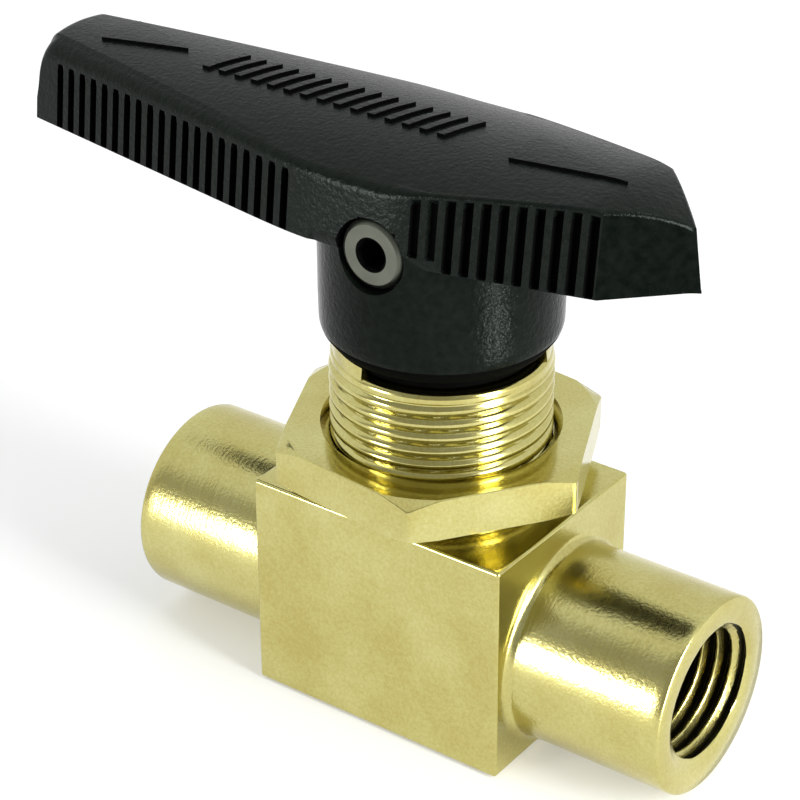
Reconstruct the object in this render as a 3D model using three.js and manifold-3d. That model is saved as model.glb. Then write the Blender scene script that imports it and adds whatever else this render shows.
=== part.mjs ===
// Quarter-turn instrumentation ball valve with a one-piece brass body, panel nut and bar handle.
// Millimetres. +X is the flow axis, +Z the stem, and the origin is the middle of the block's bottom.
// The valve is shown open: the handle and the ball's passage both lie along X.
import * as THREE from "three";
import { mergeVertices } from "three/addons/utils/BufferGeometryUtils.js";
import Module from "manifold-3d";

const wasm = await Module();
wasm.setup();

// ---- Driving dimensions
const BLOCK_LENGTH = 25.4;
const BLOCK_DEPTH = 19.8;
const BLOCK_HEIGHT = 20.6;
const END_TO_END = 54.8;
const PORT_Z = 9.0;
const HUB_RADIUS = 8.75;
const NECK_RADIUS = 9.5;
const LEDGE_Z = 33.7;
const HANDLE_BOTTOM_Z = 45.4;
const HANDLE_TOP_Z = 53.2;
const ORIFICE_RADIUS = 2.4;
const STEM_RADIUS = 3.15;

// ---- Body
const BLOCK_CHAMFER = 0.4;
const HUB_CHAMFER = 0.25;
const PORT_RADIUS = 6.0;
const PORT_MOUTH_RADIUS = 6.65;
const PORT_DEPTH = 13.5;
const PORT_CONE = 2.0;
const CAVITY_RADIUS = 6.35;
const CAVITY_FLOOR_Z = 2.9;
const BOLT_SEAT_Z = 24.2;
const BOLT_BORE_RADIUS = 7.0;
const LUG_INNER_RADIUS = 8.6;
const LUG_OUTER_RADIUS = 9.35;
const LUG_TOP_RADIUS = 9.0;
const LUG_HEIGHT = 1.0;
const LUG_ANGLES = [
  [15, 59],
  [211, 260],
];

// ---- Panel nut, shown a little above the block
const NUT_ACROSS_FLATS = 25.4;
const NUT_THICKNESS = 3.8;
const NUT_BOTTOM_Z = 22.6;
const NUT_BORE_RADIUS = 9.58;
const NUT_TURN = -5.5;
const NUT_CHAMFER = 0.5;

// ---- Trim inside the body
const BALL_RADIUS = 4.76;
const BALL_PLAY = 0.1;
const STEM_PLAY = 0.09;
const STACK_GAP = 0.1;
const PACKING_RADIUS = 6.25;
const PACKING_BOTTOM_Z = 3.0;
const PACKING_TOP_Z = 15.6;
const SIDE_RING_RADIUS = 3.3;
const SIDE_DISC_RADIUS = 4.2;
const SIDE_DISC_INNER = 5.6;
const GLAND_THICKNESS = 2.4;
const SPRING_RISE = 0.6;
const SPRING_THICKNESS = 0.9;
const BOLT_RADIUS = 6.9;
const BOLT_TOP_Z = 32.4;
const BOLT_SLOT_WIDTH = 2.0;
const BOLT_SLOT_DEPTH = 1.2;
const BEARING_RADIUS = 4.2;
const BEARING_HEIGHT = 6.0;

// ---- Handle
const HANDLE_LEFT_X = -40.9;
const HANDLE_RIGHT_X = 24.2;
const BOSS_RADIUS = 10.3;
const BOSS_BOTTOM_Z = 36.2;
const CONE_BOTTOM_RADIUS = 9.4;
const SKIRT_RADIUS = 8.3;
const SKIRT_BOTTOM_Z = LEDGE_Z + 0.2;
const STEP_Z = LEDGE_Z + LUG_HEIGHT + 0.15;
const CROWN_RADIUS = 26;
const STOP_ANGLES = [151, 209];
const INSERT_RADIUS = 7.0;
const INSERT_BOTTOM_Z = 37.0;
const INSERT_TOP_Z = 49.8;
const STEM_TOP_Z = 49.0;
const STEM_FLAT_Y = -2.4;
const SCREW_Z = 45.6;
const SCREW_RADIUS = 2.95;
const SCREW_OUTER_Y = -9.75;
const SCREW_POINT_Y = -2.55;
const SOCKET_ACROSS_FLATS = 2.4;
const SOCKET_DEPTH = 2.6;

// ---- Materials
const BRASS = new THREE.MeshStandardMaterial({
  color: 0xb5a36a,
  metalness: 1,
  roughness: 0.3,
});
const STEEL = new THREE.MeshStandardMaterial({
  color: 0x9a9d98,
  metalness: 1,
  roughness: 0.35,
});
const NYLON = new THREE.MeshStandardMaterial({
  color: 0x2a2c2a,
  metalness: 0,
  roughness: 0.6,
});
const FLUOROPOLYMER = new THREE.MeshStandardMaterial({
  color: 0xf1f0ea,
  metalness: 0,
  roughness: 0.5,
});
const PEEK = new THREE.MeshStandardMaterial({
  color: 0xb79d72,
  metalness: 0,
  roughness: 0.5,
});

// ---- Helpers
const valve = new THREE.Group();

// A closed three.js geometry as a solid facing out.
function solid(geometry) {
  const g = geometry.clone();
  g.deleteAttribute("normal");
  g.deleteAttribute("uv");
  const merged = mergeVertices(g, 1e-4);
  const mesh = (index) =>
    new wasm.Manifold(
      new wasm.Mesh({
        numProp: 3,
        vertProperties: new Float32Array(merged.attributes.position.array),
        triVerts: index,
      }),
    );
  const index = new Uint32Array(merged.index.array);
  const made = mesh(index);
  return made.volume() > 0 ? made : mesh(index.reverse());
}

// A profile of [radius, height] points turned about Z.
function turned(profile, segments = 48) {
  const points = [...profile, profile[0]].map(([r, z]) => new THREE.Vector2(r, z));
  return solid(new THREE.LatheGeometry(points, segments).rotateX(Math.PI / 2));
}

function cylinder(radius, z0, z1, segments = 48) {
  return turned(
    [
      [0, z0],
      [radius, z0],
      [radius, z1],
      [0, z1],
    ],
    segments,
  );
}

function tube(inner, outer, z0, z1, segments = 48) {
  return turned(
    [
      [inner, z0],
      [outer, z0],
      [outer, z1],
      [inner, z1],
    ],
    segments,
  );
}

// The same, lying along X on the port axis, or along Y at a given height.
function alongX(piece) {
  return piece.rotate([0, 90, 0]).translate([0, 0, PORT_Z]);
}

function alongY(piece, z) {
  return piece.rotate([-90, 0, 0]).translate([0, 0, z]);
}

function box(x, y, z, centre) {
  return solid(new THREE.BoxGeometry(x, y, z).translate(...centre));
}

function prism(shape, z0, z1) {
  const extruded = new THREE.ExtrudeGeometry(shape, {
    depth: z1 - z0,
    bevelEnabled: false,
    curveSegments: 16,
  });
  return solid(extruded.translate(0, 0, z0));
}

function hexPrism(acrossFlats, z0, z1, turn = 0) {
  const corner = acrossFlats / 2 / Math.cos(Math.PI / 6);
  const shape = new THREE.Shape();
  for (let k = 0; k < 6; k++) {
    const angle = THREE.MathUtils.degToRad(turn + 60 * k);
    const at = [corner * Math.cos(angle), corner * Math.sin(angle)];
    if (k === 0) shape.moveTo(...at);
    else shape.lineTo(...at);
  }
  return prism(shape, z0, z1);
}

// Part of a ring between two angles in degrees.
function sector(inner, outer, [from, to], z0, z1) {
  const a = THREE.MathUtils.degToRad(from);
  const b = THREE.MathUtils.degToRad(to);
  const shape = new THREE.Shape();
  shape.absarc(0, 0, outer, a, b, false);
  shape.absarc(0, 0, inner, b, a, true);
  return prism(shape, z0, z1);
}

function addPart(name, piece, material) {
  const made = piece.getMesh();
  const geometry = new THREE.BufferGeometry();
  geometry.setAttribute(
    "position",
    new THREE.BufferAttribute(new Float32Array(made.vertProperties), 3),
  );
  geometry.setIndex(new THREE.BufferAttribute(new Uint32Array(made.triVerts), 1));
  geometry.computeVertexNormals();
  const mesh = new THREE.Mesh(geometry, material);
  mesh.name = name;
  valve.add(mesh);
}

// ---- Body: block, two hubs, neck and stop lugs, bored for the ports and the trim
function chamferedBlock() {
  const x = BLOCK_LENGTH / 2;
  const y = BLOCK_DEPTH / 2;
  const c = BLOCK_CHAMFER;
  const shape = new THREE.Shape();
  shape.moveTo(-x + c, -y);
  for (const [px, py] of [
    [x - c, -y],
    [x, -y + c],
    [x, y - c],
    [x - c, y],
    [-x + c, y],
    [-x, y - c],
    [-x, -y + c],
  ])
    shape.lineTo(px, py);
  return prism(shape, 0, BLOCK_HEIGHT);
}

function hubs() {
  const end = END_TO_END / 2;
  return alongX(
    turned([
      [0, -end],
      [HUB_RADIUS - HUB_CHAMFER, -end],
      [HUB_RADIUS, -end + HUB_CHAMFER],
      [HUB_RADIUS, end - HUB_CHAMFER],
      [HUB_RADIUS - HUB_CHAMFER, end],
      [0, end],
    ]),
  );
}

function stopLugs() {
  const envelope = turned([
    [0, LEDGE_Z - 1],
    [LUG_OUTER_RADIUS, LEDGE_Z - 1],
    [LUG_OUTER_RADIUS, LEDGE_Z - 0.2],
    [LUG_TOP_RADIUS, LEDGE_Z + LUG_HEIGHT],
    [0, LEDGE_Z + LUG_HEIGHT],
  ]);
  const lugs = LUG_ANGLES.map((angles) =>
    sector(LUG_INNER_RADIUS, NECK_RADIUS, angles, LEDGE_Z - 0.5, LEDGE_Z + LUG_HEIGHT),
  );
  return lugs[0].add(lugs[1]).intersect(envelope);
}

// One female port: a mouth chamfer, the plain thread bore and a drill cone, cut from the +X end.
function portCut() {
  const end = END_TO_END / 2;
  const bottom = end - PORT_DEPTH;
  return alongX(
    turned([
      [0, bottom - PORT_CONE],
      [ORIFICE_RADIUS, bottom - PORT_CONE],
      [PORT_RADIUS, bottom],
      [PORT_RADIUS, end - (PORT_MOUTH_RADIUS - PORT_RADIUS)],
      [PORT_MOUTH_RADIUS, end],
      [PORT_MOUTH_RADIUS, end + 1],
      [0, end + 1],
    ]),
  );
}

function valveBody() {
  const neck = turned([
    [0, BLOCK_HEIGHT - 1],
    [NECK_RADIUS, BLOCK_HEIGHT - 1],
    [NECK_RADIUS, LEDGE_Z - 0.4],
    [NECK_RADIUS - 0.3, LEDGE_Z],
    [0, LEDGE_Z],
  ]);
  const cavity = cylinder(CAVITY_RADIUS, CAVITY_FLOOR_Z, BOLT_SEAT_Z + 1);
  const boltBore = cylinder(BOLT_BORE_RADIUS, BOLT_SEAT_Z, LEDGE_Z + 5);
  const passage = alongX(cylinder(ORIFICE_RADIUS, -20, 20, 32));
  const port = portCut();
  return chamferedBlock()
    .add(hubs())
    .add(neck)
    .add(stopLugs())
    .subtract(cavity)
    .subtract(boltBore)
    .subtract(passage)
    .subtract(port)
    .subtract(port.rotate([0, 0, 180]));
}

// ---- Panel nut: hex with its corners turned off at the top and a chamfered bore
function panelNut() {
  const top = NUT_BOTTOM_Z + NUT_THICKNESS;
  const flat = NUT_ACROSS_FLATS / 2;
  const corner = flat / Math.cos(Math.PI / 6);
  const turnedOff = turned([
    [NUT_BORE_RADIUS, NUT_BOTTOM_Z],
    [corner + 1, NUT_BOTTOM_Z],
    [corner + 1, top - 1.1],
    [flat - 0.2, top],
    [NUT_BORE_RADIUS + NUT_CHAMFER, top],
    [NUT_BORE_RADIUS, top - NUT_CHAMFER],
  ]);
  return hexPrism(NUT_ACROSS_FLATS, NUT_BOTTOM_Z, top, NUT_TURN).intersect(turnedOff);
}

// ---- Ball and stem in one piece, with the flow passage and a flat for the set screw
function ballStem() {
  const ball = solid(
    new THREE.SphereGeometry(BALL_RADIUS, 32, 24).rotateX(Math.PI / 2).translate(0, 0, PORT_Z),
  );
  const stem = turned(
    [
      [0, PORT_Z],
      [STEM_RADIUS, PORT_Z],
      [STEM_RADIUS, STEM_TOP_Z - 0.4],
      [STEM_RADIUS - 0.4, STEM_TOP_Z],
      [0, STEM_TOP_Z],
    ],
    32,
  );
  const flat = box(8, 4, 12, [0, STEM_FLAT_Y - 2, STEM_TOP_Z - 5]);
  const passage = alongX(cylinder(ORIFICE_RADIUS, -8, 8, 32));
  return ball.add(stem).subtract(flat).subtract(passage);
}

// ---- Packing, side rings and side discs round the ball
function packing() {
  const ballRoom = solid(
    new THREE.SphereGeometry(BALL_RADIUS + BALL_PLAY, 32, 24)
      .rotateX(Math.PI / 2)
      .translate(0, 0, PORT_Z),
  );
  const stemRoom = cylinder(STEM_RADIUS + STEM_PLAY, PORT_Z, PACKING_TOP_Z + 1, 32);
  const ringRoom = alongX(cylinder(SIDE_RING_RADIUS + STACK_GAP, -8, 8, 32));
  const discRoom = alongX(cylinder(SIDE_DISC_RADIUS + STACK_GAP, -8, 8, 32)).subtract(
    cylinder(SIDE_DISC_INNER - STACK_GAP, 0, PACKING_TOP_Z + 5),
  );
  return cylinder(PACKING_RADIUS, PACKING_BOTTOM_Z, PACKING_TOP_Z)
    .subtract(ballRoom)
    .subtract(stemRoom)
    .subtract(ringRoom)
    .subtract(discRoom);
}

// A bored plug along +X or -X, kept between two upright radii.
function sidePiece(radius, inner, outer, side) {
  const plug = alongX(cylinder(radius, 0, 8, 32)).subtract(
    alongX(cylinder(ORIFICE_RADIUS, -9, 9, 32)),
  );
  const kept = inner === null ? ballClearance() : cylinder(inner, 0, 20);
  return plug
    .subtract(kept)
    .intersect(cylinder(outer, 0, 20))
    .rotate([0, 0, side > 0 ? 0 : 180]);
}

function ballClearance() {
  return solid(
    new THREE.SphereGeometry(BALL_RADIUS + BALL_PLAY, 32, 24)
      .rotateX(Math.PI / 2)
      .translate(0, 0, PORT_Z),
  );
}

// ---- Gland stack: coned discs are turned from a slanted section
function conedDisc(z0, up) {
  const inner = STEM_RADIUS + 0.3;
  const outer = PACKING_RADIUS - 0.1;
  const atInner = up ? SPRING_RISE : 0;
  const atOuter = up ? 0 : SPRING_RISE;
  return turned([
    [inner, z0 + atInner],
    [outer, z0 + atOuter],
    [outer, z0 + atOuter + SPRING_THICKNESS],
    [inner, z0 + atInner + SPRING_THICKNESS],
  ]);
}

function packingBolt() {
  const bearingRoom = cylinder(BEARING_RADIUS + STACK_GAP, BOLT_SEAT_Z + 0.9, BOLT_TOP_Z + 1, 32);
  const slot = box(20, BOLT_SLOT_WIDTH, BOLT_SLOT_DEPTH, [0, 0, BOLT_TOP_Z - BOLT_SLOT_DEPTH / 2]);
  return tube(STEM_RADIUS + STEM_PLAY, BOLT_RADIUS, BOLT_SEAT_Z + STACK_GAP, BOLT_TOP_Z)
    .subtract(bearingRoom)
    .subtract(slot);
}

// ---- Handle: bar in plan, crowned on top, with boss, skirt and a stop tooth under its long arm
function barPlan() {
  const near = [
    [HANDLE_LEFT_X + 0.25, -2.8],
    [HANDLE_LEFT_X + 0.8, -4.6],
    [HANDLE_LEFT_X + 1.6, -5.2],
    [-2.6, -BOSS_RADIUS + 0.1],
    [3.0, -BOSS_RADIUS + 0.1],
    [HANDLE_RIGHT_X - 5.9, -6.0],
    [HANDLE_RIGHT_X - 0.2, -0.2],
  ];
  const far = near.map(([x, y]) => [x, -y]).reverse();
  const shape = new THREE.Shape();
  shape.moveTo(HANDLE_LEFT_X, 0);
  for (const [x, y] of near) shape.lineTo(x, y);
  shape.lineTo(HANDLE_RIGHT_X, 0);
  for (const [x, y] of far) shape.lineTo(x, y);
  return shape;
}

function handleGrip() {
  const crown = cylinder(CROWN_RADIUS, -60, 60, 96)
    .rotate([0, 90, 0])
    .translate([0, 0, HANDLE_TOP_Z - CROWN_RADIUS]);
  const bar = prism(barPlan(), HANDLE_BOTTOM_Z, HANDLE_TOP_Z + 1).intersect(crown);
  const boss = turned([
    [0, SKIRT_BOTTOM_Z],
    [SKIRT_RADIUS, SKIRT_BOTTOM_Z],
    [SKIRT_RADIUS, STEP_Z],
    [CONE_BOTTOM_RADIUS, STEP_Z],
    [BOSS_RADIUS, BOSS_BOTTOM_Z],
    [BOSS_RADIUS, HANDLE_BOTTOM_Z + 4],
    [0, HANDLE_BOTTOM_Z + 4],
  ]);
  const tooth = sector(INSERT_RADIUS + 0.6, LUG_OUTER_RADIUS, STOP_ANGLES, SKIRT_BOTTOM_Z, STEP_Z + 0.6);
  const insertRoom = cylinder(INSERT_RADIUS + STACK_GAP, SKIRT_BOTTOM_Z - 1, INSERT_TOP_Z + STACK_GAP);
  const screwRoom = alongY(cylinder(SCREW_RADIUS + 0.2, -20, 0, 32), SCREW_Z);
  return bar.add(boss).add(tooth).subtract(insertRoom).subtract(screwRoom);
}

function handleInsert() {
  const stemRoom = cylinder(STEM_RADIUS + STEM_PLAY, INSERT_BOTTOM_Z - 1, STEM_TOP_Z + 0.3, 32);
  const screwRoom = alongY(cylinder(SCREW_RADIUS + 0.05, -20, 0, 32), SCREW_Z);
  return cylinder(INSERT_RADIUS, INSERT_BOTTOM_Z, INSERT_TOP_Z)
    .subtract(stemRoom)
    .subtract(screwRoom);
}

function setScrew() {
  const shank = turned(
    [
      [0, SCREW_OUTER_Y],
      [SCREW_RADIUS - 0.3, SCREW_OUTER_Y],
      [SCREW_RADIUS, SCREW_OUTER_Y + 0.3],
      [SCREW_RADIUS, SCREW_POINT_Y - 1.0],
      [SCREW_RADIUS - 1.0, SCREW_POINT_Y],
      [0, SCREW_POINT_Y],
    ],
    32,
  );
  const socket = hexPrism(SOCKET_ACROSS_FLATS, SCREW_OUTER_Y - 1, SCREW_OUTER_Y + SOCKET_DEPTH, 30);
  return alongY(shank.subtract(socket), SCREW_Z);
}

// ---- Assembly, from the body outwards
const lowerGlandZ = PACKING_TOP_Z + STACK_GAP;
const upperGlandZ = lowerGlandZ + GLAND_THICKNESS + STACK_GAP;
const lowerSpringZ = upperGlandZ + GLAND_THICKNESS + STACK_GAP;
const upperSpringZ = lowerSpringZ + SPRING_RISE + SPRING_THICKNESS + STACK_GAP;
const glandBore = STEM_RADIUS + STEM_PLAY;

addPart("valve_body", valveBody(), BRASS);
addPart("panel_nut", panelNut(), BRASS);
addPart("packing", packing(), FLUOROPOLYMER);
for (const [name, side] of [
  ["inlet", -1],
  ["outlet", 1],
]) {
  addPart(
    "side_ring_" + name,
    sidePiece(SIDE_RING_RADIUS, null, SIDE_DISC_INNER - STACK_GAP, side),
    STEEL,
  );
  addPart(
    "side_disc_" + name,
    sidePiece(SIDE_DISC_RADIUS, SIDE_DISC_INNER, PACKING_RADIUS, side),
    STEEL,
  );
}
addPart(
  "lower_gland",
  tube(glandBore, PACKING_RADIUS, lowerGlandZ, lowerGlandZ + GLAND_THICKNESS),
  STEEL,
);
addPart(
  "upper_gland",
  tube(glandBore, PACKING_RADIUS, upperGlandZ, upperGlandZ + GLAND_THICKNESS),
  STEEL,
);
addPart("gland_spring_lower", conedDisc(lowerSpringZ, true), STEEL);
addPart("gland_spring_upper", conedDisc(upperSpringZ, false), STEEL);
addPart("packing_bolt", packingBolt(), STEEL);
addPart(
  "stem_bearing",
  tube(glandBore, BEARING_RADIUS, BOLT_SEAT_Z + 1, BOLT_SEAT_Z + 1 + BEARING_HEIGHT, 32),
  PEEK,
);
addPart("ball_stem", ballStem(), STEEL);
addPart("handle_insert", handleInsert(), STEEL);
addPart("handle_grip", handleGrip(), NYLON);
addPart("set_screw", setScrew(), STEEL);

export default valve;
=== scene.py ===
"""Blender scene of a small brass quarter-turn ball valve with a black bar handle.

Lengths are in millimetres in the constants and in metres in the meshes. +X is the flow axis, +Z the stem.
"""

import math

import bmesh
import bpy
import numpy as np
from mathutils import Matrix, Vector


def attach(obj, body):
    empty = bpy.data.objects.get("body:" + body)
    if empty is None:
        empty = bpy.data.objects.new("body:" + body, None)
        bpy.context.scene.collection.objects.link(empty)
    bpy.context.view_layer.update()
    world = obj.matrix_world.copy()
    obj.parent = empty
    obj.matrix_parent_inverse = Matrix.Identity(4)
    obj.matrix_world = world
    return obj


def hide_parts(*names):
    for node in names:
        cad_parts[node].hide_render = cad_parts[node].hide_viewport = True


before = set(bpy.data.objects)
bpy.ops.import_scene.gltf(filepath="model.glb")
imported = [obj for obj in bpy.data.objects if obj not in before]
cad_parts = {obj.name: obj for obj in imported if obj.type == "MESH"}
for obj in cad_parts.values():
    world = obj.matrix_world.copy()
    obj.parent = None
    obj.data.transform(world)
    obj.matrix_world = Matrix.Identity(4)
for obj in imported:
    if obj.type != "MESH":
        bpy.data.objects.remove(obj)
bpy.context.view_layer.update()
MM = 0.001

# ---- Sizes in the shared frame, in millimetres
BLOCK_X, BLOCK_Y, BLOCK_Z = 25.4, 19.8, 20.6
BLOCK_EDGE = 0.3
PORT_Z = 9.0
HUB_END = 27.4
HUB_RADIUS = 8.75
HUB_CHAMFER = 0.2
HUB_FILLET = 0.75
ORIFICE = 2.4
CAVITY = 6.35
CAVITY_FLOOR = 2.9
BOLT_BORE = 7.0
BOLT_SEAT = 24.2
PORT_BOTTOM = 13.9
PORT_PITCH = 1.411
PORT_MOUTH = 6.65
PORT_THREAD_DEPTH = 0.95
PORT_CHAMFER_SLOPE = 2.6
PORT_ROOT_SHADE_BAND = 0.42
NECK_MAJOR = 9.5
NECK_PITCH = 1.27
NECK_DEPTH = 0.5
LEDGE_Z = 33.7
LEDGE_ROUND = 0.55
LUG_INNER, LUG_OUTER, LUG_TOP = 8.6, 9.3, 9.05
LUG_HEIGHT = 1.0
LUG_ANGLES = ((15.0, 59.0), (211.0, 260.0))
NUT_FLATS, NUT_BOTTOM, NUT_THICK = 25.4, 22.6, 3.8
NUT_TURN = -5.5
NUT_BORE = 9.58
BAR_BOTTOM, BAR_TOP = 45.4, 53.2
BAR_LEFT, BAR_RIGHT = -40.9, 24.2
BAR_END_RADIUS = 15.7
BAR_CORNER_X, BAR_FACET_X = -40.1, 18.3
BAR_CORNER_HALF, BAR_MID_HALF, BAR_FACET_HALF = 4.95, 10.3, 5.95
BAR_DRAFT = 0.12
CROWN_RADIUS = 26.0
# height below which the boss gets painted shade
BOSS_SHADE_TOP = 36.0
BOSS_TOP = 46.4
BAR_LEFT_SLOPE, BAR_RIGHT_SLOPE = 0.1642, 0.267
BAR_SOFTNESS = 0.22
FACET_LEAN = 0.17
CROWN_FALL_X, CROWN_FALL = 16.0, 0.045
GROOVE_DEPTH, GROOVE_HALF, GROOVE_SLOPE = 0.8, 0.40, 0.09
LEFT_GROOVES = -36.9 + 1.487 * np.arange(20)
RIGHT_GROOVES = 17.75 - 1.385 * np.arange(11)
GROOVES = np.concatenate([LEFT_GROOVES, RIGHT_GROOVES])
FLOW_LEFT = [(-34.5, -2.0), (-26.7, 0.2), (-26.7, 0.3), (-34.4, 2.9)]
FLOW_RIGHT = [(7.9, -2.4), (17.7, -0.75), (17.7, -0.65), (7.5, 2.6)]
MARK_START, MARK_STEP, MARK_COUNT = -23.4, 1.72, 15
MARK_RISE = 0.28
SKIRT_BOTTOM, SKIRT_RADIUS = 33.85, 8.3
TOOTH_ANGLES = (151, 209)
SCREW_Z, SCREW_RADIUS, SCREW_FACE_Y = 45.6, 3.0, -9.75
SOCKET_HALF, SOCKET_DEPTH = 1.2, 2.4
SCREW_POCKET_GAP = 0.2
TAU = 2 * math.pi


# ---- Mesh helpers
def mesh_object(name, verts, faces, sharp=35.0):
    mesh = bpy.data.meshes.new(name)
    mesh.from_pydata([tuple(v) for v in np.asarray(verts) * MM], [], faces)
    mesh.validate()
    bm = bmesh.new()
    bm.from_mesh(mesh)
    bmesh.ops.remove_doubles(bm, verts=bm.verts, dist=2e-7)
    bmesh.ops.dissolve_degenerate(bm, dist=1e-7, edges=bm.edges)
    bmesh.ops.recalc_face_normals(bm, faces=bm.faces)
    bm.to_mesh(mesh)
    bm.free()
    shade(mesh, sharp)
    obj = bpy.data.objects.new(name, mesh)
    bpy.context.scene.collection.objects.link(obj)
    return obj


def shade(mesh, sharp=35.0):
    mesh.shade_smooth()
    mesh.set_sharp_from_angle(angle=math.radians(sharp))


def grid(rows, close_rows=False):
    """Quads over rows of points; each row is a closed loop. close_rows joins the last row to the first."""
    n, m = len(rows), len(rows[0])
    verts = np.concatenate([np.asarray(r) for r in rows])
    faces = []
    for i in range(n if close_rows else n - 1):
        a, b = i * m, ((i + 1) % n) * m
        for j in range(m):
            k = (j + 1) % m
            faces.append((a + j, a + k, b + k, b + j))
    return verts, faces


def capped(rows):
    """Rows of closed loops with a flat cap at both ends."""
    verts, faces = grid(rows)
    m = len(rows[0])
    last = (len(rows) - 1) * m
    faces.append(tuple(range(m - 1, -1, -1)))
    faces.append(tuple(range(last, last + m)))
    return verts, faces


def ring_rows(profile, segments, about="z", centre=(0.0, 0.0, 0.0), wave=None):
    """Turns (radius, height) points about an axis. wave(radius, height, angles) may change the radius."""
    angles = np.arange(segments) * TAU / segments
    rows = []
    for r, h in profile:
        rr = np.full(segments, float(r)) if wave is None else wave(r, h, angles)
        c, s = rr * np.cos(angles), rr * np.sin(angles)
        hh = np.full(segments, float(h))
        points = {"z": (c, s, hh), "x": (hh, c, s), "y": (c, -hh, s)}[about]
        rows.append(np.stack(points, axis=1) + np.array(centre))
    return rows


def turned(name, profile, segments=96, about="z", centre=(0.0, 0.0, 0.0), wave=None, sharp=35.0):
    """A solid turned from a closed profile that stays off the axis."""
    rows = ring_rows(profile, segments, about, centre, wave)
    verts, faces = grid(rows, close_rows=True)
    return mesh_object(name, verts, faces, sharp)


def turned_solid(name, profile, segments=96, about="z", centre=(0.0, 0.0, 0.0), sharp=35.0):
    """A solid turned from an open profile and closed by flat caps."""
    rows = ring_rows(profile, segments, about, centre)
    verts, faces = capped(rows)
    return mesh_object(name, verts, faces, sharp)


def arc(cx, cy, r, start, end, n):
    """Points on an arc, angles in degrees."""
    t = np.radians(np.linspace(start, end, n))
    return [(cx + r * math.cos(a), cy + r * math.sin(a)) for a in t]


def cut(obj, *tools):
    """Subtracts the tools from obj and removes them."""
    for tool in tools:
        m = obj.modifiers.new("cut", "BOOLEAN")
        m.operation = "DIFFERENCE"
        m.solver = "EXACT"
        m.object = tool
    apply_modifiers(obj)
    for tool in tools:
        bpy.data.objects.remove(tool)


def apply_modifiers(obj):
    graph = bpy.context.evaluated_depsgraph_get()
    made = bpy.data.meshes.new_from_object(obj.evaluated_get(graph))
    obj.modifiers.clear()
    old = obj.data
    obj.data = made
    bpy.data.meshes.remove(old)


def plug(radius, a, b, about="z", centre=(0.0, 0.0, 0.0), segments=96):
    return turned_solid("cutter", [(radius, a), (radius, b)], segments, about, centre)


def smoothstep(a, b, x):
    t = np.clip((x - a) / (b - a), 0, 1)
    return t * t * (3 - 2 * t)


# ---- Materials
def new_material(name):
    mat = bpy.data.materials.new(name)
    mat.use_nodes = True
    nodes = mat.node_tree.nodes
    nodes.clear()
    out = nodes.new("ShaderNodeOutputMaterial")
    bsdf = nodes.new("ShaderNodeBsdfPrincipled")
    mat.node_tree.links.new(bsdf.outputs["BSDF"], out.inputs["Surface"])
    return mat, mat.node_tree, bsdf


def node(tree, kind, inputs=None, **props):
    made = tree.nodes.new(kind)
    for key, value in props.items():
        setattr(made, key, value)
    for key, value in (inputs or {}).items():
        if isinstance(value, bpy.types.NodeSocket):
            tree.links.new(value, made.inputs[key])
        else:
            made.inputs[key].default_value = value
    return made


def object_coords(tree, scale=(1.0, 1.0, 1.0)):
    coords = node(tree, "ShaderNodeTexCoord")
    mapping = node(tree, "ShaderNodeMapping", {"Vector": coords.outputs["Object"], "Scale": scale})
    return mapping.outputs["Vector"]


def noise(tree, vector, scale, detail=2.0, roughness=0.5):
    made = node(
        tree,
        "ShaderNodeTexNoise",
        {"Vector": vector, "Scale": scale, "Detail": detail, "Roughness": roughness},
    )
    return made.outputs["Fac"]


def ramp(tree, fac, stops):
    made = node(tree, "ShaderNodeValToRGB", {"Fac": fac})
    elements = made.color_ramp.elements
    while len(elements) < len(stops):
        elements.new(0.5)
    for element, (at, colour) in zip(elements, stops):
        element.position = at
        element.color = (*colour, 1.0)
    return made.outputs["Color"]


def remap(tree, value, low, high):
    made = node(
        tree,
        "ShaderNodeMapRange",
        {"Value": value, "From Min": 0.0, "From Max": 1.0, "To Min": low, "To Max": high},
    )
    return made.outputs["Result"]


def brass(name, lines, rough, bump, scale):
    """Machined brass. lines stretches the tool marks: small along a direction means long marks along it."""
    mat, tree, bsdf = new_material(name)
    plain = object_coords(tree)
    marks = object_coords(tree, lines)
    cloud = noise(tree, plain, 160.0, 3.0)
    fine = noise(tree, plain, 3600.0, 2.0)
    tool = noise(tree, marks, 900.0 * scale, 4.0, 0.6)
    grain = node(tree, "ShaderNodeMath", {0: cloud, 1: remap(tree, fine, -0.35, 0.35)}, operation="ADD")
    colour = ramp(
        tree,
        grain.outputs[0],
        [(0.25, (0.58, 0.54, 0.23)), (0.5, (0.525, 0.475, 0.178)), (0.75, (0.48, 0.41, 0.135))],
    )
    tree.links.new(colour, bsdf.inputs["Base Color"])
    bsdf.inputs["Metallic"].default_value = 1.0
    mix = node(tree, "ShaderNodeMath", {0: tool, 1: fine}, operation="ADD")
    half = node(tree, "ShaderNodeMath", {0: mix.outputs[0], 1: 0.5}, operation="MULTIPLY")
    tree.links.new(remap(tree, half.outputs[0], rough[0], rough[1] + 0.06), bsdf.inputs["Roughness"])
    bumped = node(
        tree,
        "ShaderNodeBump",
        {"Strength": bump, "Distance": 0.00006, "Height": half.outputs[0]},
    )
    tree.links.new(bumped.outputs["Normal"], bsdf.inputs["Normal"])
    return mat


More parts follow.
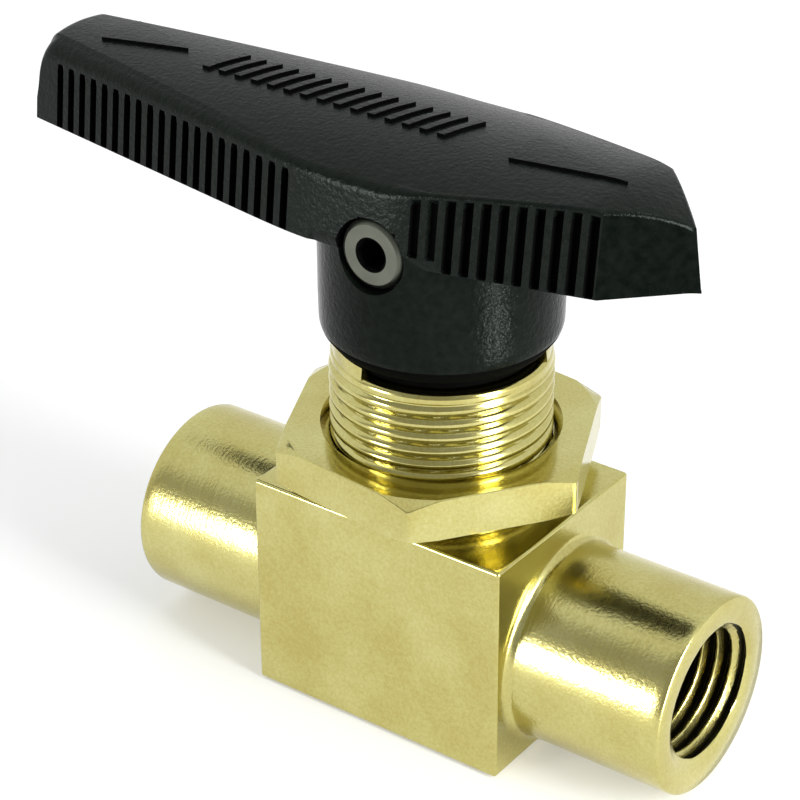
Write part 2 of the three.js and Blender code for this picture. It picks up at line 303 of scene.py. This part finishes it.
def nylon(name, shine=0.11, rough=(0.16, 0.34)):
    """Black moulded plastic with a fine pebbled grain."""
    mat, tree, bsdf = new_material(name)
    coords = object_coords(tree)
    grain = noise(tree, coords, 2400.0, 3.0, 0.6)
    cloud = noise(tree, coords, 1400.0, 3.0)
    colour = ramp(tree, cloud, [(0.3, (0.0022, 0.0034, 0.0024)), (0.7, (0.0052, 0.0068, 0.0054))])
    tree.links.new(colour, bsdf.inputs["Base Color"])
    bsdf.inputs["Specular IOR Level"].default_value = shine
    bsdf.inputs["Specular Tint"].default_value = (0.86, 1.0, 0.9, 1)
    tree.links.new(remap(tree, grain, *rough), bsdf.inputs["Roughness"])
    bumped = node(tree, "ShaderNodeBump", {"Strength": 0.6, "Distance": 0.00011, "Height": grain})
    tree.links.new(bumped.outputs["Normal"], bsdf.inputs["Normal"])
    return mat


def painted_shade_black(name):
    """Matt black as painted shade for the grooves, the screw's socket and pocket, the boss's rim and the
    marks' sides.
    """
    mat, tree, bsdf = new_material(name)
    cloud = noise(tree, object_coords(tree), 900.0, 2.0)
    colour = ramp(tree, cloud, [(0.3, (0.0008, 0.0009, 0.0008)), (0.7, (0.0016, 0.0018, 0.0016))])
    tree.links.new(colour, bsdf.inputs["Base Color"])
    tree.links.new(remap(tree, cloud, 0.7, 0.9), bsdf.inputs["Roughness"])
    bsdf.inputs["Specular IOR Level"].default_value = 0.02
    return mat


def metal(name, colour, rough):
    """Plain metal with a fine grain in its gloss."""
    mat, tree, bsdf = new_material(name)
    coords = object_coords(tree)
    grain = noise(tree, coords, 1800.0, 3.0, 0.6)
    cloud = noise(tree, coords, 500.0, 2.0)
    dark = tuple(c * 0.86 for c in colour)
    tree.links.new(ramp(tree, cloud, [(0.35, dark), (0.65, colour)]), bsdf.inputs["Base Color"])
    bsdf.inputs["Metallic"].default_value = 1.0
    tree.links.new(remap(tree, grain, rough - 0.06, rough + 0.06), bsdf.inputs["Roughness"])
    bumped = node(tree, "ShaderNodeBump", {"Strength": 0.15, "Distance": 0.00003, "Height": grain})
    tree.links.new(bumped.outputs["Normal"], bsdf.inputs["Normal"])
    return mat


def polymer(name, colour, rough):
    """Soft white or tan plastic of the hidden seals."""
    mat, tree, bsdf = new_material(name)
    coords = object_coords(tree)
    cloud = noise(tree, coords, 700.0, 3.0)
    dark = tuple(c * 0.93 for c in colour)
    tree.links.new(ramp(tree, cloud, [(0.35, dark), (0.65, colour)]), bsdf.inputs["Base Color"])
    tree.links.new(remap(tree, cloud, rough - 0.08, rough + 0.08), bsdf.inputs["Roughness"])
    return mat


MAT_BLOCK = brass("brass_milled", (1.0, 1.0, 0.12), rough=(0.10, 0.19), bump=0.16, scale=2.5)
MAT_HUB = brass("brass_turned_x", (1.0, 0.03, 0.03), rough=(0.14, 0.23), bump=0.6, scale=3.2)
MAT_NECK = brass("brass_turned_z", (0.03, 0.03, 1.0), rough=(0.09, 0.16), bump=0.06, scale=3.0)
MAT_NUT = brass("brass_nut", (0.5, 0.5, 0.5), rough=(0.08, 0.17), bump=0.10, scale=2.0)
MAT_NYLON = nylon("nylon_moulded")
# painted shade: the nylon with its reflection taken off, for the dark facet at the bar's pointed end
MAT_FACET_SHADE = nylon("nylon_facet_painted_shade", 0.0)
MAT_BOSS = nylon("nylon_boss", 0.06, (0.09, 0.18))
# painted shade: near-black brass for the port's thread roots
MAT_ROOT_SHADE = metal("brass_thread_root_painted_shade", (0.030, 0.027, 0.012), 0.45)
# painted shade: matt black put on faces that lie in shade
MAT_PAINTED_SHADE = painted_shade_black("nylon_painted_shade")
MAT_SCREW = metal("steel_screw", (0.115, 0.122, 0.098), 0.42)
MAT_STEEL = metal("steel_trim", (0.56, 0.56, 0.54), 0.32)
MAT_PTFE = polymer("packing_white", (0.80, 0.80, 0.77), 0.45)
MAT_BEARING = polymer("bearing_tan", (0.48, 0.37, 0.22), 0.42)


def dress(obj, material, slot, body, *nodes):
    obj.data.materials.clear()
    obj.data.materials.append(material)
    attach(obj, body)
    if nodes:
        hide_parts(*nodes)
    return obj


# ---- Block
def make_block():
    bm = bmesh.new()
    bmesh.ops.create_cube(bm, size=1.0)
    for v in bm.verts:
        v.co.x *= BLOCK_X * MM
        v.co.y *= BLOCK_Y * MM
        v.co.z = (v.co.z + 0.5) * BLOCK_Z * MM
    bmesh.ops.bevel(
        bm, geom=bm.edges[:], offset=BLOCK_EDGE * MM, segments=3, profile=0.5, affect="EDGES"
    )
    mesh = bpy.data.meshes.new("body_block")
    bm.to_mesh(mesh)
    bm.free()
    block = bpy.data.objects.new("body_block", mesh)
    bpy.context.scene.collection.objects.link(block)
    cut(
        block,
        plug(4.2, -20, 20, "x", (0, 0, PORT_Z)),
        plug(CAVITY, CAVITY_FLOOR, BLOCK_Z + 5),
    )
    shade(block.data, 40)
    block.modifiers.new("normals", "WEIGHTED_NORMAL").keep_sharp = True
    apply_modifiers(block)
    return dress(block, MAT_BLOCK, "brass_machined", "body", "valve_body")


# ---- Hubs with a taper pipe thread inside
def port_radius(r, h, angles):
    """Radius of the bore wall at height h from the valve's middle: taper thread under a mouth chamfer."""
    if r > 0:
        return np.full(len(angles), float(r))
    taper = (HUB_END - h) / 32.0
    phase = np.mod(h / PORT_PITCH - angles / TAU, 1.0)
    crest = 1 - np.abs(phase - 0.5) * 2
    crest = np.clip((crest - 0.08) / 0.84, 0, 1)
    fade = float(smoothstep(PORT_BOTTOM + 0.3, PORT_BOTTOM + 2.2, h))
    thread = PORT_MOUTH - 0.05 - taper - PORT_THREAD_DEPTH * (crest * fade + (1 - fade))
    chamfer = PORT_MOUTH - (HUB_END - h) * PORT_CHAMFER_SLOPE
    return np.maximum(thread, chamfer)


def make_hub(name, side):
    bore_steps = np.linspace(PORT_BOTTOM, HUB_END - 0.02, 240)
    profile = [(ORIFICE, 6.45), (ORIFICE, 11.9)]
    profile += [(0, h) for h in bore_steps]
    profile += [(PORT_MOUTH + 0.05, HUB_END)]
    profile += [(HUB_RADIUS - HUB_CHAMFER, HUB_END)]
    profile += [(HUB_RADIUS - 0.05, HUB_END - 0.12), (HUB_RADIUS, HUB_END - HUB_CHAMFER - 0.1)]
    profile += [(HUB_RADIUS, h) for h in np.linspace(HUB_END - 1.2, BLOCK_X / 2 + HUB_FILLET, 8)]
    profile += [
        (r, h)
        for h, r in arc(
            BLOCK_X / 2 + HUB_FILLET, HUB_RADIUS + HUB_FILLET, HUB_FILLET, 265, 182, 8
        )
    ]
    profile += [(HUB_RADIUS + HUB_FILLET, BLOCK_X / 2 - 0.2), (4.15, 8.0), (4.15, 6.45)]
    rows = ring_rows(profile, 180, "x", (0, 0, PORT_Z), port_radius)
    verts, faces = grid(rows, close_rows=True)
    verts[:, 2] = np.maximum(verts[:, 2], 0.02)
    if side < 0:
        verts[:, :2] *= -1
    hub = dress(mesh_object(name, verts, faces, 50), MAT_HUB, "brass_machined", "body")
    # painted shade in the port's thread roots
    darken(hub, MAT_ROOT_SHADE, in_thread_root_shade)
    return hub


def in_thread_root_shade(x, y, z, normal):
    """True deep in the port's thread, where the brass gets a near-black material as painted shade."""
    r = math.hypot(y, z - PORT_Z)
    root = PORT_MOUTH - 0.05 - (HUB_END - abs(x)) / 32.0
    return PORT_BOTTOM < abs(x) < HUB_END - 0.3 and root - PORT_ROOT_SHADE_BAND < r < root + 0.2


# ---- Neck with its panel thread, and the stop lugs on its ledge
def neck_radius(r, h, angles):
    if r > 0:
        return np.full(len(angles), float(r))
    phase = np.mod(h / NECK_PITCH - angles / TAU, 1.0)
    crest = 1 - np.abs(2 * phase - 1) ** 2.2
    fade = float(smoothstep(LEDGE_Z - 0.75, LEDGE_Z - 1.3, h))
    over = min(max((h - (LEDGE_Z - LEDGE_ROUND)) / LEDGE_ROUND, 0.0), 1.0)
    rounded = LEDGE_ROUND * (1 - math.sqrt(1 - over * over))
    return NECK_MAJOR - NECK_DEPTH * (1 - crest) * fade - 0.15 * (1 - fade) - rounded


def make_neck():
    profile = [(CAVITY, BLOCK_Z - 1.0), (CAVITY, BOLT_SEAT), (BOLT_BORE, BOLT_SEAT)]
    profile += [(BOLT_BORE, LEDGE_Z - 0.2), (BOLT_BORE + 0.2, LEDGE_Z)]
    profile += [(NECK_MAJOR - 0.15 - LEDGE_ROUND, LEDGE_Z)]
    profile += [(0, LEDGE_Z - LEDGE_ROUND * (1 - math.cos(a))) for a in np.linspace(0.25, 1.5, 7)]
    profile += [(0, h) for h in np.linspace(LEDGE_Z - 0.62, BLOCK_Z - 0.5, 200)]
    profile += [(NECK_MAJOR - NECK_DEPTH, BLOCK_Z - 1.0)]
    neck = turned("body_neck", profile, 144, wave=neck_radius, sharp=60)
    return dress(neck, MAT_NECK, "brass_machined", "body")


def make_lugs():
    section = [
        (LUG_INNER, LEDGE_Z - 0.3),
        (LUG_OUTER - 0.1, LEDGE_Z - 0.3),
        (LUG_OUTER - 0.05, LEDGE_Z - 0.1),
        (LUG_TOP + 0.08, LEDGE_Z + LUG_HEIGHT - 0.1),
        (LUG_TOP - 0.05, LEDGE_Z + LUG_HEIGHT),
        (LUG_INNER + 0.08, LEDGE_Z + LUG_HEIGHT),
        (LUG_INNER, LEDGE_Z + LUG_HEIGHT - 0.08),
    ]
    for k, (start, end) in enumerate(LUG_ANGLES):
        rows = []
        for a in np.radians(np.linspace(start, end, 24)):
            rows.append(np.array([(r * math.cos(a), r * math.sin(a), z) for r, z in section]))
        verts, faces = capped(rows)
        lug = mesh_object(f"stop_lug_{k + 1}", verts, faces, 30)
        dress(lug, MAT_NECK, "brass_machined", "body")


# ---- Panel nut
def make_nut():
    top, bottom = NUT_BOTTOM + NUT_THICK, NUT_BOTTOM
    apothem = NUT_FLATS / 2
    side = np.concatenate([[0, 0.6, 2], np.arange(5, 56, 5), [58, 59.4]])
    angles = np.radians(np.concatenate([NUT_TURN + 60 * k + side for k in range(6)]))
    local = np.radians(np.mod(np.degrees(angles) - NUT_TURN, 60) - 30)
    hexagon = apothem / np.cos(local)
    corner = apothem / math.cos(math.pi / 6)
    hexagon = np.minimum(hexagon, corner - 0.05)
    washer = apothem + 0.75
    slope = math.tan(math.radians(26))
    ones = np.ones(len(angles))

    def row(radius, height):
        r = radius * ones
        return np.stack([r * np.cos(angles), r * np.sin(angles), height * ones], axis=1)

    edge_top = top - np.maximum(hexagon - washer, 0.0) * slope
    edge_bottom = bottom + np.maximum(hexagon - apothem - 0.9, 0) * slope * 0.5
    rows = [
        row(NUT_BORE, bottom + 0.4),
        row(NUT_BORE, top - 0.75),
        row(NUT_BORE + 0.72, top - 0.03),
        row(NUT_BORE + 0.85, top),
        row(np.minimum(hexagon - 0.1, washer - 0.05), top),
        row(hexagon - 0.08, edge_top),
        row(hexagon, edge_top - 0.08),
        row(hexagon, edge_bottom + 0.05),
        row(hexagon - 0.05, edge_bottom),
        row(np.minimum(hexagon - 0.1, apothem), bottom),
        row(NUT_BORE + 0.4, bottom),
    ]
    verts, faces = grid(rows, close_rows=True)
    nut = mesh_object("panel_nut_turned", verts, faces, 22)
    return dress(nut, MAT_NUT, "brass_machined", "nut", "panel_nut")


# ---- Handle
def bar_half(x):
    """Half the bar's width at its bottom, at x."""
    if x <= BAR_CORNER_X:
        centre = BAR_LEFT + BAR_END_RADIUS
        return max(math.sqrt(max(BAR_END_RADIUS**2 - (x - centre) ** 2, 0)), 0.04)
    if x >= BAR_FACET_X:
        return max(BAR_FACET_HALF * (BAR_RIGHT - x) / (BAR_RIGHT - BAR_FACET_X), 0.04)
    left = BAR_CORNER_HALF + (x - BAR_CORNER_X) * BAR_LEFT_SLOPE
    right = BAR_FACET_HALF + (BAR_FACET_X - x) * BAR_RIGHT_SLOPE
    low = min(left, right, BAR_MID_HALF)
    spread = sum(math.exp(-(v - low) / BAR_SOFTNESS) for v in (left, right, BAR_MID_HALF))
    return low - BAR_SOFTNESS * math.log(spread)


def crown_z(x, y):
    """Height of the handle's crowned top, which falls away towards the pointed end and the blunt end."""
    x, y = np.asarray(x, float), np.asarray(y, float)
    fall = CROWN_FALL * np.maximum(x - CROWN_FALL_X, 0) ** 2
    crown = BAR_TOP - (CROWN_RADIUS - np.sqrt(CROWN_RADIUS**2 - y * y)) - fall
    inside = x - (BAR_LEFT + y * y / (2 * BAR_END_RADIUS))
    steep = BAR_BOTTOM + 0.5 + 4.6 * np.clip(inside / 0.6, 0, 1)
    t = np.clip((inside - 0.6) / 1.5, 0, 1)
    rounded = steep + (crown - steep) * np.sqrt(1 - (1 - t) ** 2)
    return np.minimum(crown, rounded)


def edge_radius(x):
    """Radius that joins the bar's side to its crown: wide at the blunt end, tight at the pointed end."""
    return float(np.interp(x, [-40.0, -9.0, -2.0, 1.5, 4.5, 24.0], [1.7, 1.05, 1.2, 1.1, 0.45, 0.35]))


def groove(x):
    """How deep the nearest groove is at x, from 0 to 1; the two nearest the screw are shallow."""
    nearest = GROOVES[np.argmin(np.abs(GROOVES - x))]
    strength = 1.0
    if nearest > 0:
        strength = float(np.interp(nearest, [3.8, 4.0, 5.4, 6.8], [1.0, 0.35, 0.6, 1.0]))
    return strength * float(np.clip((GROOVE_HALF - abs(nearest - x)) / GROOVE_SLOPE, 0, 1))


def groove_foot(x):
    """Where the grooves begin above the bar's bottom: over the round boss they start higher."""
    return BOSS_TOP + 0.05 if abs(x) < 6.0 else BAR_BOTTOM + 0.2


def bar_stations():
    xs = [BAR_LEFT + d for d in (0, 0.02, 0.06, 0.12, 0.2, 0.3, 0.4, 0.5, 0.6, 0.7, 0.8, 0.9, 1.0, 1.15)]
    xs += [BAR_LEFT + d for d in (1.3, 1.5, 1.7, 1.9, 2.1, 2.4, 2.8, 3.2)]
    for g in GROOVES:
        xs += [g - 0.41, g - 0.40, g - 0.31, g, g + 0.31, g + 0.40, g + 0.41, g + 0.7]
    xs += list(np.arange(-8.0, 4.0, 0.4))
    xs += [BAR_FACET_X - 0.03, BAR_FACET_X, BAR_FACET_X + 0.03]
    xs += [19.2, 20.2, 21.2, 22.0, 22.6, 23.0, 23.3, 23.6, 23.85, 24.0, 24.1, 24.16, BAR_RIGHT]
    return sorted(set(round(float(x), 3) for x in xs if BAR_LEFT <= x <= BAR_RIGHT))


def bar_side(x):
    """Half width at the bottom, half width where the crown starts, height there and the edge radius."""
    w = bar_half(x)
    r = min(edge_radius(x), w * 0.5)
    room = min(float(crown_z(x, max(w - 0.6, 0.0) * 0.9)), BAR_BOTTOM + w / FACET_LEAN)
    r = min(r, (room - BAR_BOTTOM) * 0.4)
    upper = max(w - BAR_DRAFT * (room - BAR_BOTTOM - r), w * 0.35)
    return w, upper, room, r


def bar_section(x):
    """One closed loop of the bar across Y at x."""
    w, upper, room, r = bar_side(x)
    low = min(0.3, w * 0.4)
    edge = min(float(crown_z(x, max(upper - r, 0.0))), room)
    shoulder = edge - r
    foot_z = groove_foot(x)
    heights = np.concatenate([[foot_z - 0.05, foot_z], np.linspace(foot_z + 0.1, shoulder, 12)])
    share = (heights - BAR_BOTTOM) / max(shoulder - BAR_BOTTOM, 0.01)
    fade = smoothstep(shoulder - 0.05, shoulder - 0.55, heights)
    fade = fade * smoothstep(foot_z, foot_z + 0.1, heights)
    depth = GROOVE_DEPTH * groove(x) * fade
    side = w + (upper - w) * share - depth
    right = list(zip(side, heights))
    right += arc(upper - r, shoulder, r, 14, 78, 7)
    spread = np.sin(np.linspace(math.pi / 2, -math.pi / 2, 27))
    tops = (upper - r) * spread
    lid = [BAR_BOTTOM + (w - abs(y)) / FACET_LEAN if x > BAR_FACET_X else BAR_TOP for y in tops]
    top = [(y, max(min(float(crown_z(x, y)), limit), edge)) for y, limit in zip(tops, lid)]
    left = [(-y, z) for y, z in reversed(right)]
    foot = side[0] - low
    bottom = [(-foot, BAR_BOTTOM), (0.0, BAR_BOTTOM), (foot, BAR_BOTTOM)]
    return np.array([(x, y, z) for y, z in right + top + left + bottom])


def darken(obj, material, inside):
    """Gives the second material to the faces whose centre, in millimetres, passes the test."""
    obj.data.materials.append(material)
    for face in obj.data.polygons:
        if inside(*(c / MM for c in face.center), face.normal):
            face.material_index = len(obj.data.materials) - 1


def in_painted_shade(x, y, z, normal):
    """True on the screw's pocket and on the bottoms of the grooves, which get painted shade."""
    if math.hypot(x, z - SCREW_Z) < SCREW_RADIUS + 0.24 and y < 0:
        return True
    w, upper, room, r = bar_side(x)
    share = min(max((z - BAR_BOTTOM) / max(room - r - BAR_BOTTOM, 0.01), 0), 1)
    return groove_foot(x) < z < room - r and abs(y) < w + (upper - w) * share - 0.25 and groove(x) > 0.05


def make_bar():
    verts, faces = capped([bar_section(x) for x in bar_stations()])
    bar = mesh_object("handle_bar", verts, faces, 30)
    cut(
        bar,
        plug(7.1, BAR_BOTTOM - 2, 49.9),
        plug(SCREW_RADIUS + SCREW_POCKET_GAP, -4.0, 14.0, "y", (0, 0, SCREW_Z), 64),
    )
    shade(bar.data, 30)
    dress(bar, MAT_NYLON, "nylon_black", "handle", "handle_grip")
    # painted shade: matt black on the grooves' bottoms and the screw's pocket
    darken(bar, MAT_PAINTED_SHADE, in_painted_shade)
    # painted shade: the pointed end's facet gets the nylon without reflection
    darken(bar, MAT_FACET_SHADE, lambda x, y, z, normal: x > BAR_FACET_X and normal.z < 0.3)


def make_boss():
    profile = [(7.1, SKIRT_BOTTOM), (SKIRT_RADIUS - 0.03, SKIRT_BOTTOM), (SKIRT_RADIUS, 33.9)]
    profile += [(SKIRT_RADIUS, 34.82), (9.22, 34.85)]
    profile += [(9.38, 34.92), (10.0, 35.75), (10.14, 36.1), (10.22, 36.5), (10.24, 37.1)]
    profile += [(10.27, z) for z in (39.0, 41.0, 43.0)] + [(10.29, 45.3), (10.29, BOSS_TOP), (7.1, BOSS_TOP)]
    boss = turned("handle_boss", profile, 144, sharp=30)
    cut(boss, plug(SCREW_RADIUS + SCREW_POCKET_GAP, -4.0, 14.0, "y", (0, 0, SCREW_Z), 64))
    shade(boss.data, 30)
    dress(boss, MAT_BOSS, "nylon_black", "handle")
    # painted shade: matt black on the boss's lower rim, where it lies in shade over the ledge
    darken(boss, MAT_PAINTED_SHADE, lambda x, y, z, normal: z < BOSS_SHADE_TOP)


def make_tooth():
    section = [(7.6, 33.9), (9.2, 33.9), (9.3, 34.0), (9.3, 35.1), (7.6, 35.4)]
    rows = []
    for a in np.radians(np.linspace(*TOOTH_ANGLES, 20)):
        rows.append(np.array([(r * math.cos(a), r * math.sin(a), z) for r, z in section]))
    verts, faces = capped(rows)
    tooth = mesh_object("handle_stop_tooth", verts, faces, 30)
    return dress(tooth, MAT_NYLON, "nylon_black", "handle")


def raised_patch(name, corners, n=10):
    """A low flat-topped patch between four corners in plan, following the handle's crown."""
    a, b, c, d = [np.array(p, float) for p in corners]
    verts, faces = [], []
    for lift in (MARK_RISE, -0.35):
        for i in range(n + 1):
            for j in range(n + 1):
                u, v = i / n, j / n
                p = (a * (1 - u) + b * u) * (1 - v) + (d * (1 - u) + c * u) * v
                verts.append((p[0], p[1], float(crown_z(p[0], p[1])) + lift))
    m = n + 1
    for i in range(n):
        for j in range(n):
            k = i * m + j
            faces.append((k, k + 1, k + m + 1, k + m))
            faces.append(tuple(m * m + q for q in (k, k + m, k + m + 1, k + 1)))
    rim = list(range(n)) + [i * m + n for i in range(n)]
    rim += [n * m + j for j in range(n, 0, -1)] + [i * m for i in range(n, 0, -1)]
    for p, q in zip(rim, rim[1:] + rim[:1]):
        faces.append((p, q, q + m * m, p + m * m))
    patch = dress(mesh_object(name, verts, faces, 40), MAT_NYLON, "nylon_black", "handle")
    # painted shade: matt black on the marks' side walls
    darken(patch, MAT_PAINTED_SHADE, lambda x, y, z, normal: normal.z < 0.4)


def make_marks():
    raised_patch("flow_mark_left", FLOW_LEFT)
    raised_patch("flow_mark_right", FLOW_RIGHT)
    for k in range(MARK_COUNT):
        x = MARK_START + MARK_STEP * k
        corners = [(x, -1.8), (x + 0.7, -1.8), (x + 1.9, 2.3), (x + 1.2, 2.3)]
        raised_patch(f"grip_mark_{k + 1}", corners, n=5)


# ---- Set screw
def make_screw():
    """Screw with a hexagon socket, its axis along Y and its face towards -Y."""
    face = -SCREW_FACE_Y
    n = 60
    angles = np.arange(n) * TAU / n
    hexagon = SOCKET_HALF / np.cos(np.radians(np.mod(np.degrees(angles), 60) - 30))

    def row(r, out):
        rr = r * np.ones(n)
        return np.stack([rr * np.cos(angles), np.full(n, -out), SCREW_Z + rr * np.sin(angles)], axis=1)

    rows = [
        row(0.02, face - SOCKET_DEPTH - 0.6),
        row(hexagon * 0.98, face - SOCKET_DEPTH),
        row(hexagon, face - 0.25),
        row(np.maximum(hexagon, 1.3), face - 0.12),
        row(1.5, face),
        row(SCREW_RADIUS - 0.45, face),
        row(SCREW_RADIUS - 0.15, face - 0.2),
        row(SCREW_RADIUS, face - 0.5),
        row(SCREW_RADIUS, 3.6),
        row(SCREW_RADIUS - 1.0, 2.6),
        row(0.02, 2.55),
    ]
    verts, faces = capped(rows)
    screw = mesh_object("set_screw_socketed", verts, faces, 30)
    dress(screw, MAT_SCREW, "steel_plain", "handle", "set_screw")
    # painted shade: matt black inside the hexagon socket
    darken(screw, MAT_PAINTED_SHADE, in_socket_shade)


# Faces inside the hexagon socket that get painted shade.
def in_socket_shade(x, y, z, normal):
    return math.hypot(x, z - SCREW_Z) < 1.45 and y < -4


make_block()
make_hub("hub_outlet", 1)
make_hub("hub_inlet", -1)
make_neck()
make_lugs()
make_nut()
make_bar()
make_boss()
make_tooth()
make_marks()
make_screw()

# ---- Materials of the CAD nodes that stay
for name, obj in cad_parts.items():
    if name == "packing":
        material = MAT_PTFE
    elif name == "stem_bearing":
        material = MAT_BEARING
    elif name == "handle_grip":
        material = MAT_NYLON
    elif name in ("valve_body", "panel_nut"):
        material = MAT_BLOCK
    else:
        material = MAT_STEEL
    for slot in obj.material_slots:
        slot.material = material

# ---- Floor, light and camera
floor_mat, floor_tree, floor_bsdf = new_material("floor_white")
floor_bsdf.inputs["Base Color"].default_value = (0.66, 0.66, 0.66, 1)
floor_bsdf.inputs["Roughness"].default_value = 0.9
floor_bsdf.inputs["Emission Color"].default_value = (1, 1, 1, 1)
floor_bsdf.inputs["Emission Strength"].default_value = 0.31
floor_mesh = bpy.data.meshes.new("floor")
floor_mesh.from_pydata([(-3, -3, 0), (3, -3, 0), (3, 3, 0), (-3, 3, 0)], [], [(0, 1, 2, 3)])
floor = bpy.data.objects.new("floor", floor_mesh)
floor_mesh.materials.append(floor_mat)
bpy.context.scene.collection.objects.link(floor)
floor.location.z = -0.0002


def area_light(name, azimuth, elevation, distance, width, height, power, target=(0, 0, 0.02)):
    """A rectangular soft light; azimuth is measured from +X towards +Y."""
    a, e = math.radians(azimuth), math.radians(elevation)
    towards = Vector((math.cos(a) * math.cos(e), math.sin(a) * math.cos(e), math.sin(e)))
    data = bpy.data.lights.new(name, "AREA")
    data.shape = "RECTANGLE"
    data.size, data.size_y = width, height
    data.energy = power
    lamp = bpy.data.objects.new(name, data)
    lamp.location = Vector(target) + towards * distance
    lamp.rotation_euler = towards.to_track_quat("Z", "Y").to_euler()
    bpy.context.scene.collection.objects.link(lamp)
    return lamp


area_light("strip_right", -5, 18, 0.6, 0.17, 0.42, 5.4)
area_light("strip_left", -116, 5, 0.6, 0.16, 0.19, 2.2)
area_light("card_right", -7, 2, 0.082, 0.012, 0.006, 0.02, target=(0, 0, -0.001))

world = bpy.data.worlds.new("studio")
bpy.context.scene.world = world
world.use_nodes = True
wt = world.node_tree
wt.nodes.clear()
w_out = node(wt, "ShaderNodeOutputWorld")
w_bg = node(wt, "ShaderNodeBackground")
wt.links.new(w_bg.outputs[0], w_out.inputs[0])
w_dir = node(wt, "ShaderNodeTexCoord").outputs["Generated"]


def facing(direction, low, high):
    """1 where the sky lies towards the direction, 0 where it lies away, with a soft edge between."""
    dot = node(wt, "ShaderNodeVectorMath", {0: w_dir, 1: direction}, operation="DOT_PRODUCT")
    made = node(
        wt,
        "ShaderNodeMapRange",
        {"Value": dot.outputs["Value"], "From Min": low, "From Max": high},
        interpolation_type="SMOOTHSTEP",
    )
    return made.outputs["Result"]


bright_back = remap(wt, facing((-0.30, 0.954, 0.0), -0.42, -0.24), 0.42, 1.0)
wt.links.new(bright_back, w_bg.inputs["Strength"])
w_bg.inputs["Color"].default_value = (0.98, 1.0, 0.985, 1)

camera_data = bpy.data.cameras.new("camera")
camera_data.sensor_width = 36.0
camera_data.lens = 116.4015
camera_data.clip_end = 20
camera = bpy.data.objects.new("camera", camera_data)
right = Vector((0.80790317, 0.58930541, -0.00340669))
up = Vector((-0.28867028, 0.40077655, 0.86950999))
back = Vector((0.51377226, -0.70149647, 0.4939036))
place = Vector((0.10936204, -0.15525910, 0.13592641))
camera.matrix_world = Matrix.Translation(place) @ Matrix((right, up, back)).transposed().to_4x4()
bpy.context.scene.collection.objects.link(camera)
bpy.context.scene.camera = camera
bpy.context.scene.view_settings.view_transform = "Standard"
